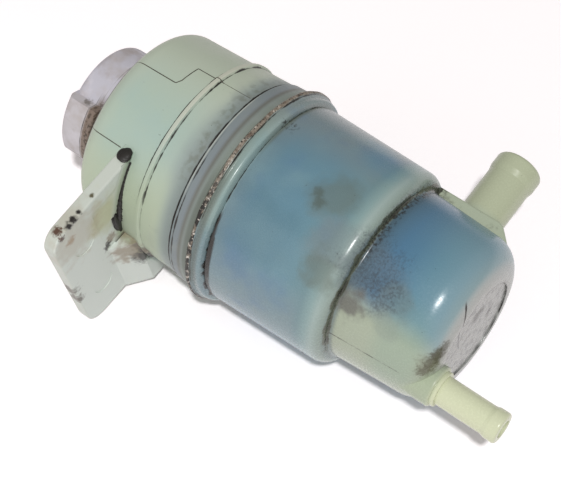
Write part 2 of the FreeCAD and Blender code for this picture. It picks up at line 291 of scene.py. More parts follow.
def bottle_place(tree):
    """Millimetres about the bottle's axis and shoulder, the depth below the
    shoulder and the distance from the axis."""
    place = add(tree, "ShaderNodeTexCoord").outputs["Object"]
    scaled = add(tree, "ShaderNodeVectorMath", {0: place, "Scale": 1 / MM}, operation="SCALE")
    local = add(tree, "ShaderNodeVectorMath", {0: scaled, 1: (AXIS_X, 0, SHOULDER_Z)},
                operation="SUBTRACT")
    depth = add(tree, "ShaderNodeVectorMath", {0: local, 1: (0, 0, -1)}, operation="DOT_PRODUCT")
    flat = add(tree, "ShaderNodeVectorMath", {0: local, 1: (1, 1, 0)}, operation="MULTIPLY")
    radius = add(tree, "ShaderNodeVectorMath", {0: flat}, operation="LENGTH")
    return local, depth, radius


def bands(tree, depth, stops):
    """Colours that change smoothly down the bottle, from stops of a depth
    and a colour, which may be hex text."""
    first, last = stops[0][0], stops[-1][0]
    tones = [linear(tone) if isinstance(tone, str) else tone for place, tone in stops]
    share = add(tree, "ShaderNodeMapRange", {"Value": depth, "From Min": first, "From Max": last})
    node = add(tree, "ShaderNodeValToRGB", {"Fac": share})
    elements = node.color_ramp.elements
    elements.remove(elements[-1])
    elements[0].position = 0.0
    elements[0].color = tones[0]
    for (place, _), tone in zip(stops[1:], tones[1:]):
        elements.new((place - first) / (last - first)).color = tone
    return node


def coats(tree, under, layers):
    """Lay colours over each other in order. Each layer is its colour, which
    may be hex text, and the masks that are multiplied to say where it shows."""
    for colour, mask, *others in layers:
        if isinstance(colour, str):
            colour = linear(colour)
        for other in others:
            mask = add(tree, "ShaderNodeMath", {0: mask, 1: other}, operation="MULTIPLY")
        under = add(tree, "ShaderNodeMix", {0: mask, 6: under, 7: colour}, data_type="RGBA")
    return under


def fade(tree, value, start, full, middle=None):
    """Mask that grows smoothly while a value goes from start to full. Where
    a middle is given, the value's distance from it counts instead."""
    if middle is not None:
        value = add(tree, "ShaderNodeMath", {0: value, 1: middle}, operation="SUBTRACT")
        value = add(tree, "ShaderNodeMath", {0: value}, operation="ABSOLUTE")
    return add(tree, "ShaderNodeMapRange", {"Value": value, "From Min": start, "From Max": full},
               interpolation_type="SMOOTHSTEP")


def flank(tree, local, degrees, start, full):
    """Mask of the bottle's side that looks towards an angle: it grows from
    start to full millimetres out from the axis."""
    angle = math.radians(degrees)
    reach = add(tree, "ShaderNodeVectorMath", {0: local, 1: (math.cos(angle), math.sin(angle), 0)},
                operation="DOT_PRODUCT")
    return fade(tree, reach, start, full)


def belt(tree, value, low, high, soft):
    """Mask that is one between two values and soft over a length at both."""
    half = (high - low) / 2
    return fade(tree, value, half + soft / 2, half - soft / 2, middle=(low + high) / 2)


def patches(tree, local, size, low, high, detail=3.0):
    """Uneven patches about size millimetres across, from noise."""
    cloud = add(tree, "ShaderNodeTexNoise", {"Vector": local, "Scale": 1 / size, "Detail": detail})
    return fade(tree, cloud, low, high)


def dirt_and_shade_line(tree, value, local, place, thin, thick):
    """Dark line where a value is at place: dirt held in a groove, and in places painted shade.
    Its half width wanders with noise from thin to thick, and below nought it breaks off."""
    away = add(tree, "ShaderNodeMath", {0: value, 1: place}, operation="SUBTRACT")
    away = add(tree, "ShaderNodeMath", {0: away}, operation="ABSOLUTE")
    cloud = add(tree, "ShaderNodeTexNoise",
                {"Vector": local, "Scale": 1 / 7.0, "Detail": 4.0, "Roughness": 0.6})
    half = add(tree, "ShaderNodeMapRange", {"Value": cloud, "From Min": 0.35, "From Max": 0.65,
                                            "To Min": thin, "To Max": thick})
    gap = add(tree, "ShaderNodeMath", {0: away, 1: half}, operation="SUBTRACT")
    return fade(tree, gap, DIRT_EDGE, -DIRT_EDGE)


def splash(tree, local, centre, radius, grain):
    """Dirt round a point: whole near it, and broken by noise of a grain in
    millimetres towards the radius."""
    away = add(tree, "ShaderNodeVectorMath", {0: local, 1: centre}, operation="DISTANCE")
    cloud = add(tree, "ShaderNodeTexNoise", {"Vector": local, "Scale": 1 / grain, "Detail": 4.0})
    break_up, rim, core = 1.6 * radius, 1.85 * radius, 1.15 * radius
    ragged = add(tree, "ShaderNodeMath", {0: cloud, 1: break_up, 2: away}, operation="MULTIPLY_ADD")
    return fade(tree, ragged, rim, core)


def at(degrees, depth, radius):
    """Point on the bottle in the bottle's own millimetres."""
    angle = math.radians(degrees)
    return (radius * math.cos(angle), radius * math.sin(angle), -depth)


def finish_surface(tree, shader, colour, local, rough_low, rough_high, grain, relief):
    """Join a colour to the shader, with a roughness that wanders between two
    values and a moulded grain as bump. A real mould's grain is 0.05 to 0.1 mm
    and too fine to show, so it is drawn at the 0.4 to 0.8 mm that shows."""
    cloud = add(tree, "ShaderNodeTexNoise", {"Vector": local, "Scale": 1 / grain, "Detail": 3.0})
    rough = add(tree, "ShaderNodeMapRange", {"Value": cloud, "From Min": 0.3, "From Max": 0.7,
                                             "To Min": rough_low, "To Max": rough_high})
    bump = add(tree, "ShaderNodeBump", {"Height": cloud, "Strength": relief,
                                        "Distance": GRAIN_RELIEF * MM})
    shown = next(output for output in colour.outputs if output.enabled)
    tree.links.new(shown, shader.inputs["Base Color"])
    tree.links.new(rough.outputs[0], shader.inputs["Roughness"])
    tree.links.new(bump.outputs[0], shader.inputs["Normal"])


def upper_plastic():
    """Natural polypropylene, injection moulded. It is waxy and half clear, so
    old fluid greys it from inside, and every groove holds black grease."""
    material, tree, shader = new_material("Injection moulded polypropylene, aged natural")
    palette = colours()
    local, depth, radius = bottle_place(tree)
    body = bands(tree, depth, (
        (-1.5, "BBC0B0"), (2.0, "AFBCAE"), (8.0, palette.shell), (26.0, palette.shell),
        (33.0, "A8B9AF"), (37.0, "97A4A0"), (41.0, "838E8B"),
        (43.0, "7E888A"), (45.5, "7E878C"), (47.5, "838D88"),
        (50.0, "7F887F"), (51.6, "77786C")))
    wing = fade(tree, radius, 38.3, 41.5)
    plate = belt(tree, depth, 11.0, 27.0, 1.0)
    front = flank(tree, local, -82, 8.0, 22.0)
    back = flank(tree, local, -165, 25.0, 36.5)
    right = flank(tree, local, -35, 12.0, 34.0)
    above_step = fade(tree, depth, 40.0, 34.0)
    along = add(tree, "ShaderNodeVectorMath", {0: local, 1: (1, 0, 0)}, operation="DOT_PRODUCT")
    across = add(tree, "ShaderNodeVectorMath", {0: local, 1: (0, 1, 0)}, operation="DOT_PRODUCT")
    edge = -BRACKET_HALF_WIDTH
    surface = coats(tree, body, (
        # Stain seen through the wall, yellower towards both sides, with painted light that brightens
        # the sides where the shading falls off.
        ("B7C2AA", back, above_step, 0.9),
        ("BDC6B4", right, above_step, 0.9),
        ("B3C1AB", patches(tree, local, 14.0, 0.42, 0.75), above_step, 0.35),
        ("8B928F", patches(tree, local, 10.0, 0.5, 0.72), fade(tree, depth, 30.0, 40.0), 0.5),
        ("6F7468", patches(tree, local, 2.5, 0.45, 0.65), belt(tree, depth, 37.5, 41.5, 3.0),
         flank(tree, local, -80, 22.0, 34.0), 0.5),
        # The bracket plate: clean and pale, and yellower and browner towards its root.
        (palette.bracket, wing, plate),
        ("D6DDD6", wing, belt(tree, depth, 19.35, 30.0, 0.2), fade(tree, across, -30.4, -29.8),
         fade(tree, along, -63.6, -62.9)),
        ("BFC19A", wing, plate, splash(tree, local, (-40.5, -18, -19.5), 11.0, 9.0), 0.75),
        ("A8957A", wing, plate, splash(tree, local, (-53, -22, -20), 15.0, 4.0), 0.35),
        # The mould ring, rubbed pale on top; a painted highlight and a painted shade band near the
        # step; grease in the grooves.
        ("CDCCBD", belt(tree, depth, RIB_DEPTH + 0.3, RIB_DEPTH + RIB_WIDTH - 0.3, 0.4),
         flank(tree, local, -75, 20.0, 36.0), 0.6),
        # Painted highlight: a pale line on the step's lower face, where the key light catches it.
        ("BFC3BB", belt(tree, depth, 42.4, 42.9, 0.4), flank(tree, local, -98, 30.0, 36.0), 0.7),
        # Painted shade: a soft dark band for the shading of a low step near 46.5 mm that is not
        # modelled.
        ("5F5B50", belt(tree, depth, 45.9, 47.1, 1.8), 0.7),
        ("6E7663", dirt_and_shade_line(tree, depth, local, RIB_DEPTH - 0.1, 0.0, 0.2), 0.7),
        ("6E7663", dirt_and_shade_line(tree, depth, local, RIB_DEPTH + RIB_WIDTH + 0.1, 0.0, 0.2), 0.7),
        (palette.dirt, dirt_and_shade_line(tree, depth, local, RIB_DEPTH - 0.1, -0.02, 0.38), front),
        (palette.dirt, dirt_and_shade_line(tree, depth, local, RIB_DEPTH + RIB_WIDTH + 0.1, -0.04, 0.38), front),
        (palette.dirt, dirt_and_shade_line(tree, depth, local, STEP_DEPTH + 0.15, 0.08, 0.42)),
        (palette.dirt, dirt_and_shade_line(tree, depth, local, 43.4, 0.0, 0.36),
         flank(tree, local, -150, 18.0, 30.0)),
        (palette.dirt, dirt_and_shade_line(tree, depth, local, 50.4, -0.1, 0.35)),
        # Loose specks, the dark band over the weld and a painted shadow line at the shoulder.
        (palette.dirt, patches(tree, local, 0.8, 0.69, 0.74), patches(tree, local, 9.0, 0.55, 0.7),
         0.8),
        ("555B52", belt(tree, depth, 48.0, 51.4, 1.5), flank(tree, local, -150, 26.0, 36.0), 0.6),
        # Painted shadow: a dark line on the shoulder for the shade in the gap under the cap.
        (palette.dirt, belt(tree, depth, -0.6, 0.5, 0.5), flank(tree, local, -118, 24.0, 31.0), 0.85),
        # Black and brown spots on the plate's edges.
        (palette.dirt, splash(tree, local, (-54.2, edge, -19.6), 2.0, 1.5)),
        (palette.dirt, splash(tree, local, (-51.6, edge, -19.2), 1.8, 1.2)),
        (palette.dirt, splash(tree, local, (-48.5, edge, -19.0), 1.2, 1.2)),
        ("5A4234", splash(tree, local, (-57.7, edge, -17.8), 2.4, 0.7)),
        ("5A4234", splash(tree, local, (-58.6, -28.9, -20), 1.6, 0.7)),
        ("A08363", splash(tree, local, (-56.1, -23.4, -20), 2.4, 1.8), 0.7),
        ("5E5A45", splash(tree, local, (-41.6, edge, -18.5), 1.1, 1.0)),
        ("4A3C30", splash(tree, local, (-63.7, 3.5, -17.6), 4.0, 1.5), 0.8),
        ("4A3C30", splash(tree, local, (-63.7, 9.5, -19.0), 3.4, 1.5), 0.8),
        # Dirt gathered on the wedge and in the corner beside it.
        ("8C7A62", splash(tree, local, (-39.6, 7.0, -24.5), 9.0, 3.0), 0.75),
        ("5A4E40", splash(tree, local, (-37.3, 4.5, -27.5), 4.5, 2.0), 0.7),
        (palette.dirt, splash(tree, local, (-36.6, 12.5, -27.0), 6.5, 2.2), 0.9),
        (palette.dust, splash(tree, local, (-42.3, -2.5, -19.6), 3.0, 1.3), 0.7),
        (palette.dirt, splash(tree, local, (-44.8, -0.6, -19.6), 2.4, 1.3), 0.9)))
    finish_surface(tree, shader, surface, local,
                   rough_low=0.36, rough_high=0.5, grain=0.8, relief=0.12)
    shader.inputs["IOR"].default_value = POLYPROPYLENE_IOR
    return material


def lower_plastic():
    """The same polypropylene, thin and stained by old fluid: blue-grey where
    the dark inside shows through, pale and greenish where it is thick."""
    material, tree, shader = new_material("Injection moulded polypropylene, stained")
    palette = colours()
    local, depth, radius = bottle_place(tree)
    body = bands(tree, depth, (
        (51.6, "8C8F85"), (53.0, "8A9A93"), (55.8, "94A9A6"),
        (57.4, "6B828B"), (64.0, "638595"), (78.0, palette.tank), (88.0, "6A8C97"),
        (93.0, "6F8C92"), (96.5, "86A0A0"), (99.0, palette.rim), (101.5, "8E9E96"),
        (103.5, "4A606C"), (107.0, "4F7188"), (111.0, palette.sump), (116.0, "547D97"),
        (124.0, "658C9D"), (129.0, "7093A1"), (133.0, "7E9CA7"),
        (135.8, "8DA4A9"), (137.2, "ABB0AE"), (138.2, "ABADA9")))
    back = flank(tree, local, -168, 31.5, 36.5)
    right = flank(tree, local, -28, 20.0, 37.0)
    reach = add(tree, "ShaderNodeVectorMath", {0: local, 1: (1, 0, 0)}, operation="DOT_PRODUCT")
    side_tube = fade(tree, reach, SUMP_RADIUS - 0.3, SUMP_RADIUS + 1.6)
    below_ledge = fade(tree, depth, LEDGE_DEPTH - 0.4, LEDGE_DEPTH + 0.4)
    in_tank = fade(tree, depth, 95.0, 90.0)
    across = add(tree, "ShaderNodeVectorMath", {0: local, 1: (0, 1, 0)}, operation="DOT_PRODUCT")
    across = add(tree, "ShaderNodeMath", {0: across}, operation="ABSOLUTE")
    bottom = fade(tree, depth, SUMP_END_DEPTH - 2.5, SUMP_END_DEPTH - 1.2)
    flat = add(tree, "ShaderNodeVectorMath", {0: local, 1: (1, 1, 0)}, operation="MULTIPLY")
    near_return = fade(tree, add(tree, "ShaderNodeVectorMath", {0: flat, 1: (-RETURN_OFFSET, 0, 0)},
                                 operation="DISTANCE"), 8.6, 6.6)
    arc = add(tree, "ShaderNodeVectorMath", {0: flat, 1: (23.5, -6, 0)}, operation="DISTANCE")
    surface = coats(tree, body, (
        # Stain seen through the tank's wall, greyer towards both sides, with painted light that
        # brightens the sides where the shading falls off.
        ("7B9096", back, in_tank, 0.9),
        ("848F91", right, in_tank, 0.8),
        ("7D9DA3", patches(tree, local, 16.0, 0.45, 0.8), in_tank, 0.4),
        ("56789C", patches(tree, local, 20.0, 0.5, 0.75), in_tank, 0.5),
        ("587884", splash(tree, local, at(-128, 68, 36), 17.0, 14.0), 0.4),
        ("4C86A6", splash(tree, local, at(-52, 88, 36), 12.0, 20.0), 0.4),
        # Smudges on the tank.
        ("66726C", splash(tree, local, at(-89, 85, 36), 10.5, 10.0), 0.6),
        ("505A52", splash(tree, local, at(-93, 80.5, 36), 2.8, 3.0), 0.6),
        ("505A52", splash(tree, local, at(-97, 82.8, 36), 2.8, 3.0), 0.6),
        ("7B8486", splash(tree, local, at(-110, 92, 36), 11.0, 9.0), 0.5),
        ("5F6558", splash(tree, local, at(-125, 94, 36), 8.0, 6.0), 0.5),
        # The sump: pale where it is thick, grey and speckled below the ledge.
        ("A9B29C", flank(tree, local, -176, 17.5, 25.0), fade(tree, depth, 102.0, 105.0), 0.95),
        ("86A596", flank(tree, local, -150, 22.0, 29.0), belt(tree, depth, 118, 134, 8.0), 0.3),
        ("84A0AB", flank(tree, local, -30, 14.0, 30.0), fade(tree, depth, 104.0, 122.0), 0.25),
        ("5E6C76", splash(tree, local, at(-112, 108, 30), 13.0, 9.0), 0.5),
        ("6E7C7C", splash(tree, local, at(-121, 119, 30), 8.0, 8.0), 0.5),
        ("696863", splash(tree, local, at(-136, 106, 30), 7.0, 4.0), 0.85),
        ("8E9A8F", splash(tree, local, at(-136, 120, 30), 6.0, 8.0), 0.5),
        ("3C4249", patches(tree, local, 0.7, 0.42, 0.68),
         splash(tree, local, at(-110, 106, 30), 14.0, 7.0), 0.45),
        ("3E4145", patches(tree, local, 0.9, 0.38, 0.66),
         splash(tree, local, at(-121, 114, 30), 9.0, 6.0), 0.5),
        # The raised strip and the suction nozzle.
        ("AFB9A3", side_tube, below_ledge),
        ("AFB9A3", fade(tree, across, 8.75, 8.65), fade(tree, reach, 25.0, 26.5), below_ledge,
         fade(tree, depth, 133.0, 131.0)),
        (palette.nozzle, fade(tree, radius, 33.5, 37.0), below_ledge),
        # The bottom disc: dull and scuffed, with a dark line round its edge.
        ("A3A5A2", bottom, fade(tree, radius, 19.5, 18.0)),
        ("6E6F6E", bottom, patches(tree, local, 2.6, 0.48, 0.62, 5.0),
         fade(tree, radius, 21.0, 16.0), 0.8),
        (palette.dirt, dirt_and_shade_line(tree, radius, local, DISC_RADIUS + 0.1, 0.0, 0.3), bottom),
        # The return nozzle and its boss.
        ("ABB79D", near_return, fade(tree, depth, 126.0, 133.0)),
        ("D3D8B8", near_return, fade(tree, depth, 138.5, 141.0)),
        # A painted shade arc on the shaded side of the bottom's recess step, then a slot and a dot on
        # the bottom.
        (palette.dirt, dirt_and_shade_line(tree, arc, local, 32.4, 0.14, 0.42), fade(tree, depth, 136.0, 137.0),
         flank(tree, local, -90, 1.0, 3.0), flank(tree, local, 180, 0.5, 2.0)),
        ("45453F", splash(tree, local, (0.8, -8.7, -137.5), 3.0, 2.5), 0.9),
        ("45453F", splash(tree, local, (2.3, -8.8, -137.5), 3.0, 2.5), 0.9),
        ("45453F", splash(tree, local, (3.8, -8.4, -137.5), 3.0, 2.5), 0.9),
        (palette.dirt, splash(tree, local, (8.3, 0.4, -137.5), 2.4, 2.0), 0.9),
        # Grease under the flange, thickest to the left.
        (palette.dirt, dirt_and_shade_line(tree, depth, local, FLANGE_END_DEPTH + 0.3, -0.1, 0.5)),
        (palette.dirt, dirt_and_shade_line(tree, depth, local, FLANGE_END_DEPTH + 0.8, 0.5, 1.4),
         flank(tree, local, -172, 28.5, 33.0)),
        (palette.dirt, belt(tree, depth, FLANGE_END_DEPTH + 0.1, FLANGE_END_DEPTH + 1.1, 0.8),
         flank(tree, local, -152, 33.0, 34.6)),
        (palette.dirt, belt(tree, depth, FLANGE_END_DEPTH + 0.1, FLANGE_END_DEPTH + 2.2, 0.8),
         flank(tree, local, -159, 34.9, 36.9)),
        ("5C6459", belt(tree, depth, 56.2, 57.6, 1.4), flank(tree, local, -52, 26.0, 34.0), 0.7),
        (palette.dirt, patches(tree, local, 0.9, 0.44, 0.6),
         splash(tree, local, at(-70, 58, 37), 3.2, 3.0), 0.8),
        (palette.dirt, dirt_and_shade_line(tree, depth, local, 52.6, -0.05, 0.28)),
        ("5F665F", belt(tree, depth, 52.4, 54.4, 1.6), flank(tree, local, -145, 27.0, 37.0), 0.7),
        # Dirt under the ledge and along the strip.
        ("565C4E", dirt_and_shade_line(tree, depth, local, LEDGE_DEPTH + 0.1, 0.1, 0.8),
         flank(tree, local, -95, -6.0, 8.0)),
        ("3A3C33", dirt_and_shade_line(tree, depth, local, LEDGE_DEPTH + 0.2, -0.6, 0.6),
         flank(tree, local, -100, -6.0, 8.0)),
        (palette.dirt, patches(tree, local, 1.0, 0.46, 0.6), belt(tree, depth, 102.0, 104.8, 2.0),
         flank(tree, local, -60, 14.0, 27.0), 0.8),
        ("3D3D34", dirt_and_shade_line(tree, across, local, STRIP_HALF_WIDTH + 0.45, 0.0, 0.45), below_ledge,
         fade(tree, radius, 26.0, 28.0), fade(tree, radius, 33.5, 31.5),
         fade(tree, depth, 130.0, 126.0)),
        # The blotch beside the return nozzle, and loose specks.
        ("6A6A58", splash(tree, local, (-21.5, -13.0, -136.0), 6.0, 1.4), 0.45),
        ("55543F", splash(tree, local, (-24.0, -11.2, -135.3), 3.6, 0.9), 0.75),
        ("55543F", splash(tree, local, (-21.2, -13.2, -136.3), 3.8, 0.9), 0.8),
        ("4A4838", splash(tree, local, (-18.3, -15.4, -136.8), 3.8, 1.2), 0.9),
        ("4A4838", splash(tree, local, (-15.4, -17.0, -137.5), 2.8, 0.9), 0.7),
        (palette.dirt, patches(tree, local, 0.7, 0.70, 0.75), patches(tree, local, 11.0, 0.5, 0.66),
         0.7)))
    finish_surface(tree, shader, surface, local,
                   rough_low=0.2, rough_high=0.32, grain=0.8, relief=0.07)
    shader.inputs["IOR"].default_value = POLYPROPYLENE_IOR
    return material


def cap_plastic():
    """Polypropylene with a sparked, matt mould finish: milky white, lilac in
    shade and brown where hands and dust have been."""
    material, tree, shader = new_material("Injection moulded polypropylene, matt white")
    palette = colours()
    local, depth, radius = bottle_place(tree)
    lobes = fade(tree, radius, 20.6, 21.6)
    under_lobe = flank(tree, local, -140, 17.0, 20.5)
    surface = coats(tree, palette.cap, (
        ("C2BDC0", lobes, 0.9),
        ("B4ABA8", patches(tree, local, 8.0, 0.45, 0.7), 0.6),
        ("D6D2DA", patches(tree, local, 5.0, 0.5, 0.75), 0.5),
        (palette.dust, patches(tree, local, 6.0, 0.5, 0.7), 0.25),
        ("7A7672", dirt_and_shade_line(tree, depth, local, -8.6, -0.05, 0.22), 0.7),
        ("6E5A46", fade(tree, depth, -10.3, -9.1), under_lobe, 0.85),
        ("43382E", fade(tree, depth, -9.9, -8.6), patches(tree, local, 1.2, 0.45, 0.6), under_lobe,
         0.85),
        (palette.dirt, dirt_and_shade_line(tree, depth, local, -10.0, 0.0, 0.2), under_lobe, 0.9),
        ("5E564A", splash(tree, local, (-11.5, -18.8, 12.6), 2.0, 1.0), 0.7)))
    finish_surface(tree, shader, surface, local,
                   rough_low=0.46, rough_high=0.6, grain=0.5, relief=0.15)
    shader.inputs["IOR"].default_value = POLYPROPYLENE_IOR
    return material


def plain_material(name, colour, roughness, grain, ior=1.5):
    """Plain moulded piece with a fine grain and faint mottling."""
    material, tree, shader = new_material(name)
    local = bottle_place(tree)[0]
    darker = tuple(channel * 0.72 for channel in colour[:3]) + (1.0,)
    surface = coats(tree, colour, ((darker, patches(tree, local, 5.0, 0.4, 0.7)),))
    spread = 0.06
    finish_surface(tree, shader, surface, local,
                   rough_low=roughness - spread, rough_high=roughness + spread, grain=grain, relief=0.3)
    shader.inputs["IOR"].default_value = ior
    return material


def flash_plastic():
    """Polypropylene squeezed out of the hot weld: a rough bead, white where
    it is torn, brown and black where dirt has caught in it."""
    material, tree, shader = new_material("Weld flash, torn polypropylene")
    palette = colours()
    local = bottle_place(tree)[0]
    left = flank(tree, local, -165, 18.0, 32.0)
    surface = coats(tree, linear("857B6E"), (
        ("BDB4A8", patches(tree, local, 0.9, 0.51, 0.6)),
        ("5F5144", patches(tree, local, 1.8, 0.46, 0.62), 0.9),
        (palette.dirt, patches(tree, local, 0.8, 0.56, 0.66)),
        (palette.dirt, patches(tree, local, 1.5, 0.4, 0.5), left),
        ("CFC8BE", patches(tree, local, 1.1, 0.58, 0.64), left)))
    finish_surface(tree, shader, surface, local,
                   rough_low=0.4, rough_high=0.6, grain=0.7, relief=0.6)
    shader.inputs["IOR"].default_value = POLYPROPYLENE_IOR
    return material


def set_finish(node, material):
    for mesh_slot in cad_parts[node].material_slots:
        mesh_slot.material = material


class FinishShells(bpy.types.Operator):
    """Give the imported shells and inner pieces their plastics"""
    bl_idname = "reservoir.finish_shells"
    bl_label = "Finish the shells and inner pieces"

    def execute(self, context):
        set_finish("upper_shell", upper_plastic())
        set_finish("lower_shell", lower_plastic())
        set_finish("cap", cap_plastic())
        # Rubber: black and dull.
        rubber = plain_material("Moulded nitrile rubber", linear("1E1E1F"), roughness=0.6, grain=0.6)
        set_finish("cap_seal", rubber)
        # Nylon as it comes: creamy, with a soft gloss.
        nylon = plain_material("Moulded nylon, natural", linear("CFCDBE"), roughness=0.45, grain=0.8,
                               ior=NYLON_IOR)
        set_finish("neck_strainer", nylon)
        # Dyed nylon: an even blue with a satin gloss.
        blue = plain_material("Moulded nylon, blue", linear("3F6F96"), roughness=0.4, grain=0.8,
                              ior=NYLON_IOR)
        for node in ("baffle_plate", "filter_frame", "filter_cover", "return_pipe"):
            set_finish(node, blue)
        # Woven screen: fine threads scatter the light, so it is grey and dull.
        screen = plain_material("Woven nylon screen", linear("A9ABA4"), roughness=0.6, grain=0.4)
        set_finish("filter_mesh", screen)
        return {"FINISHED"}


class AddWeldFlash(bpy.types.Operator):
    """Add the bead that the hot-plate weld squeezes out round the flange"""
    bl_idname = "reservoir.add_weld_flash"
    bl_label = "Add the weld flash"

    def execute(self, context):
        # An ellipse carried round the weld. Seeded waves move it up and down
        # and change its width and its height.
        values = sizes()
        angle = np.linspace(0, 2 * np.pi, 2 * values.ring_steps, endpoint=False)
        drift, sink = 0.18, 0.1
        shift = drift * wobble(angle, seed=5, waves=24, first=7)
        centres = around(WELD_RADIUS - sink + 0 * angle, angle, WELD_DEPTH + shift)
        side = np.tile([0.0, 0.0, 1.0], (len(angle), 1))
        waver = 1 + 0.25 * wobble(angle, seed=6, waves=30, first=9)
        swell = 1 + 0.4 * wobble(angle, seed=7, waves=40, first=11)
        width = millimetres(values.flash_width) * waver
        height = millimetres(values.flash_height) * swell
        points = swept(centres, side, outward(angle), width, height)
        grid_piece("weld_flash", points, "bottle", flash_plastic(), wrap_rows=True)
        return {"FINISHED"}


class AddPartingRidges(bpy.types.Operator):
    """Add the fine ridges that the mould's joints leave on the upper shell"""
    bl_idname = "reservoir.add_parting_ridges"
    bl_label = "Add the parting ridges"

    def execute(self, context):
        # The shell's own plastic, but the dirt in its root makes it a dark line.
        plastic = plain_material("Parting ridge, dirt in its root", linear("4B473B"), roughness=0.5,
                                 grain=0.8)
        # Each ridge: its share of the full size, and its corners as angle and depth.
        paths = {
            "parting_ridge_bracket": (1.0, [(-127.3, 0.2), (-127.3, 14.5)]),
            "parting_ridge_side": (1.0, [(-83.5, 0.2), (-83.5, 17.6), (-80.5, 18.6), (-68.5, 19.2),
                                         (-68.5, 30.5)]),
            "parting_ridge_low": (0.55, [(-68.5, 30.6), (-68.5, 41.4)]),
        }
        for name, (share, corners) in paths.items():
            self.add_ridge(name, share, np.array(corners), plastic)
        return {"FINISHED"}

    def add_ridge(self, name, share, corners, material):
        """Ellipse carried from corner to corner over the wall. Its height
        stands square to the wall's slope, and it is sunk a little into it."""
        step, sink, rise = 0.4, 0.03, 0.1
        reach = np.hypot(np.diff(corners[:, 0]) * ARC_LENGTH_PER_DEGREE, np.diff(corners[:, 1]))
        along = np.concatenate([[0], np.cumsum(reach)])
        sample = np.arange(0, along[-1], step)
        angle = np.radians(np.interp(sample, along, corners[:, 0]))
        depth = np.interp(sample, along, corners[:, 1])
        up = outward(angle)
        up[:, 2] = (wall_radius(depth + rise) - wall_radius(depth - rise)) / (2 * rise)
        up /= np.linalg.norm(up, axis=1, keepdims=True)
        centres = around(wall_radius(depth) - sink, angle, depth)
        side = np.cross(np.gradient(centres, axis=0), up)
        side /= np.linalg.norm(side, axis=1, keepdims=True)
        full = np.full(len(sample), share)
        width = full * millimetres(sizes().seam_width)
        height = full * millimetres(sizes().seam_height)
        points = swept(centres, side, up, width, height, 10)
        grid_piece(name, points, "bottle", material)


class AddThreads(bpy.types.Operator):
    """Add the screw threads of the neck and the cap"""
    bl_idname = "reservoir.add_threads"
    bl_label = "Add the threads"

    def execute(self, context):
        # Each thread has its own moulding's plastic and a softer gloss.
        turns = sizes().thread_turns
        natural = plain_material("Neck thread, polypropylene", linear("AEBBA8"), roughness=0.4,
                                 grain=0.8)
        white = plain_material("Cap thread, polypropylene", linear("C4C0C6"), roughness=0.55,
                               grain=0.6)
        self.add_thread("neck_thread", "bottle", "shell_plastic", natural, NECK_RADIUS - THREAD_SINK,
                        NECK_THREAD_START - NECK_HEIGHT, turns, width=1.6, height=1.2)
        self.add_thread("cap_thread", "cap", "cap_plastic", white, CAP_BORE_RADIUS + THREAD_SINK,
                        CAP_TOP_WALL + CAP_THREAD_START - CAP_TOP_RISE, CAP_THREAD_SHARE * turns,
                        width=1.4, height=-0.75)
        return {"FINISHED"}

    def add_thread(self, name, body, slot, material, radius, depth, turns, width, height):
        """Ellipse carried down a helix and tapered over the last half radian
        at both ends. A negative height points it inwards."""
        steps_per_turn, taper, thinnest = 120, 0.5, 0.15
        count = int(turns * steps_per_turn)
        angle = np.linspace(0, 2 * np.pi * turns, count)
        ends = np.clip(np.minimum(angle, angle[-1] - angle) / taper, thinnest, 1)
        side = np.tile([0.0, 0.0, 1.0], (count, 1))
        depths = depth + millimetres(sizes().thread_pitch) * angle / (2 * np.pi)
        centres = around(radius + 0 * angle, angle, depths)
        points = swept(centres, side, outward(angle), width * ends, height * ends)
        grid_piece(name, points, body, material)


class AddGrease(bpy.types.Operator):
    """Add the grease that has gathered where the bracket meets the bottle"""
    bl_idname = "reservoir.add_grease"
    bl_label = "Add the grease"

    def execute(self, context):
        # Old oily dirt: nearly black and lumpy, with a wet broken gloss.
        black = plain_material("Oily road dirt", linear("221F1C"), roughness=0.5, grain=0.8)
        # Each lump: middle, the two ways along its face and the way out, radii and seed.
        lumps = {
            "grease_lump": ((28.3, -30.7, 2.1), ((1, 0, 0), (0, 0, 1), (0, -1, 0)), (2.6, 2.2, 0.8), 3),
            "grease_root": ((14.6, -6.4, 0.5), ((1, 0, 0), (0, 1, 0), (0, 0, -1)), (1.7, 5.2, 1.0), 4),
        }
        for name, (centre, axes, radii, seed) in lumps.items():
            points = lump_grid(np.array(centre), np.array(axes, float), np.array(radii), seed)
            grid_piece(name, points, "bottle", black)
        self.add_line(black)
        return {"FINISHED"}

    def add_line(self, material):
        """Ellipse carried round the bracket's root. It swells with the cube of
        the way along it, and seeded waves make it uneven."""
        steps, first, last = 80, -131, -169
        stand_off, sink = 0.15, 0.1
        angle = np.radians(np.linspace(first, last, steps))
        swell = np.clip(np.linspace(0, 1.36, steps), 0, 1) ** 3
        radius = wall_radius(np.array(BRACKET_DEPTH)) + stand_off
        centres = around(radius + 0 * angle, angle, BRACKET_DEPTH - sink + 0 * angle)
        up = np.tile([0.0, 0.0, -1.0], (steps, 1))
        along = np.linspace(0, 16, steps)
        width = (0.7 + 1.6 * swell) * (1 + 0.25 * wobble(along, seed=8))
        height = (0.35 + 0.8 * swell) * (1 + 0.25 * wobble(along, seed=9))
        points = swept(centres, outward(angle), up, width, height)
        grid_piece("grease_line", points, "bottle", material)


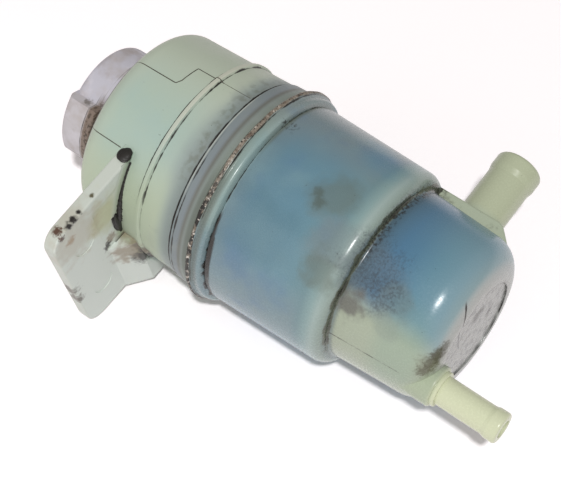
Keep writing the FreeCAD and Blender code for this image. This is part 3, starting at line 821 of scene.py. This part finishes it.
class SetStage(bpy.types.Operator):
    """Set the pale floor, the lamps, the world and the camera"""
    bl_idname = "reservoir.set_stage"
    bl_label = "Set the stage"

    def execute(self, context):
        scene = context.scene
        self.add_floor(scene)
        self.add_camera(scene)
        self.add_lamps(scene)
        self.set_world(scene)
        scene.view_settings.view_transform = "Standard"
        return {"FINISHED"}

    def add_floor(self, scene):
        """Flat square across which the bottle lies on its side."""
        normal = Vector(FLOOR_NORMAL).normalized()
        along = Vector((0.0, 0.0, 1.0))
        across = normal.cross(along)
        middle = Vector((AXIS_X, 0.0, 0.0)) * MM - normal * FLOOR_DROP * MM
        corners = [middle + along * a * FLOOR_SIZE + across * b * FLOOR_SIZE
                   for a, b in ((-1, -1), (-1, 1), (1, 1), (1, -1))]
        mesh = bpy.data.meshes.new("floor")
        mesh.from_pydata([tuple(corner) for corner in corners], [], [(0, 1, 2, 3)])
        mesh.update()
        if mesh.polygons[0].normal.dot(normal) < 0:
            mesh.flip_normals()
        floor = bpy.data.objects.new("floor", mesh)
        scene.collection.objects.link(floor)
        mesh.materials.append(self.floor_paper())

    def floor_paper(self):
        """Matt paper. What the camera and reflections see of it is lifted to
        white, and it is clear from behind."""
        material = bpy.data.materials.new("Seamless studio paper, pale")
        material.use_nodes = True
        tree = material.node_tree
        tree.nodes.clear()
        path = add(tree, "ShaderNodeLightPath")
        seen = path.outputs["Is Camera Ray"]
        for name in ("Is Glossy Ray", "Is Transmission Ray"):
            seen = add(tree, "ShaderNodeMath", {0: seen, 1: path.outputs[name]}, operation="MAXIMUM")
        paper = tuple(colours().floor)
        lifted = tuple(channel * FLOOR_LIFT for channel in paper[:3]) + (1.0,)
        colour = add(tree, "ShaderNodeMix", {0: seen, 6: paper, 7: lifted}, data_type="RGBA")
        front = add(tree, "ShaderNodeBsdfDiffuse", {"Color": colour})
        clear = add(tree, "ShaderNodeBsdfTransparent")
        behind = add(tree, "ShaderNodeNewGeometry").outputs["Backfacing"]
        both = add(tree, "ShaderNodeMixShader", {0: behind, 1: front, 2: clear})
        add(tree, "ShaderNodeOutputMaterial", {"Surface": both})
        return material

    def add_camera(self, scene):
        data = bpy.data.cameras.new("camera")
        data.sensor_width = SENSOR_WIDTH
        data.lens = FOCAL_PIXELS / IMAGE_WIDTH * SENSOR_WIDTH
        data.clip_start = 0.01
        camera = bpy.data.objects.new("camera", data)
        forward = Vector(CAMERA_FORWARD).normalized()
        right = forward.cross(Vector(CAMERA_UP)).normalized()
        up = right.cross(forward)
        turn = Matrix((right, up, -forward)).transposed().to_4x4()
        camera.matrix_world = Matrix.Translation(Vector(CAMERA_PLACE) * MM) @ turn
        scene.collection.objects.link(camera)
        scene.camera = camera

    def add_lamps(self, scene):
        middle = Vector((AXIS_X, 0.0, LAMP_TARGET_Z)) * MM
        for name, direction, distance, size, power in LAMPS:
            data = bpy.data.lights.new(name, "AREA")
            data.shape = "DISK"
            data.size = size
            data.energy = power
            lamp = bpy.data.objects.new(name, data)
            away = Vector(direction).normalized()
            lamp.matrix_world = Matrix.Translation(middle + away * distance) @ \
                away.to_track_quat("Z", "Y").to_matrix().to_4x4()
            scene.collection.objects.link(lamp)

    def set_world(self, scene):
        """Soft light from all sides, which the camera sees as white."""
        world = bpy.data.worlds.new("studio")
        scene.world = world
        world.use_nodes = True
        tree = world.node_tree
        tree.nodes.clear()
        soft = add(tree, "ShaderNodeBackground", {"Color": WORLD_COLOUR, "Strength": WORLD_LEVEL})
        white = add(tree, "ShaderNodeBackground", {"Color": linear("FFFFFF"), "Strength": 1.0})
        path = add(tree, "ShaderNodeLightPath").outputs["Is Camera Ray"]
        seen = add(tree, "ShaderNodeMixShader", {0: path, 1: soft, 2: white})
        add(tree, "ShaderNodeOutputWorld", {"Surface": seen})


class ReservoirPanel(bpy.types.Panel):
    """Sizes, colours and steps of the reservoir"""
    bl_idname = "VIEW3D_PT_reservoir"
    bl_label = "Reservoir"
    bl_space_type = "VIEW_3D"
    bl_region_type = "UI"
    bl_category = "Reservoir"

    def draw(self, context):
        for group in (sizes(), colours()):
            for name in group.bl_rna.properties.keys():
                if name not in ("rna_type", "name"):
                    self.layout.prop(group, name)
        for maker in STEPS:
            self.layout.operator(maker.bl_idname)


STEPS = (FinishShells, AddWeldFlash, AddPartingRidges, AddThreads, AddGrease, SetStage)
GROUPS = (ReservoirSizes, ReservoirColours)


def register():
    for cls in GROUPS + STEPS + (ReservoirPanel,):
        bpy.utils.register_class(cls)
    bpy.types.Scene.reservoir_sizes = PointerProperty(type=ReservoirSizes)
    bpy.types.Scene.reservoir_colours = PointerProperty(type=ReservoirColours)


def unregister():
    del bpy.types.Scene.reservoir_colours
    del bpy.types.Scene.reservoir_sizes
    for cls in reversed(GROUPS + STEPS + (ReservoirPanel,)):
        bpy.utils.unregister_class(cls)


def main():
    """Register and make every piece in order."""
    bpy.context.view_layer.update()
    register()
    for maker in STEPS:
        family, name = maker.bl_idname.split(".")
        getattr(getattr(bpy.ops, family), name)()


if __name__ == "__main__":
    main()
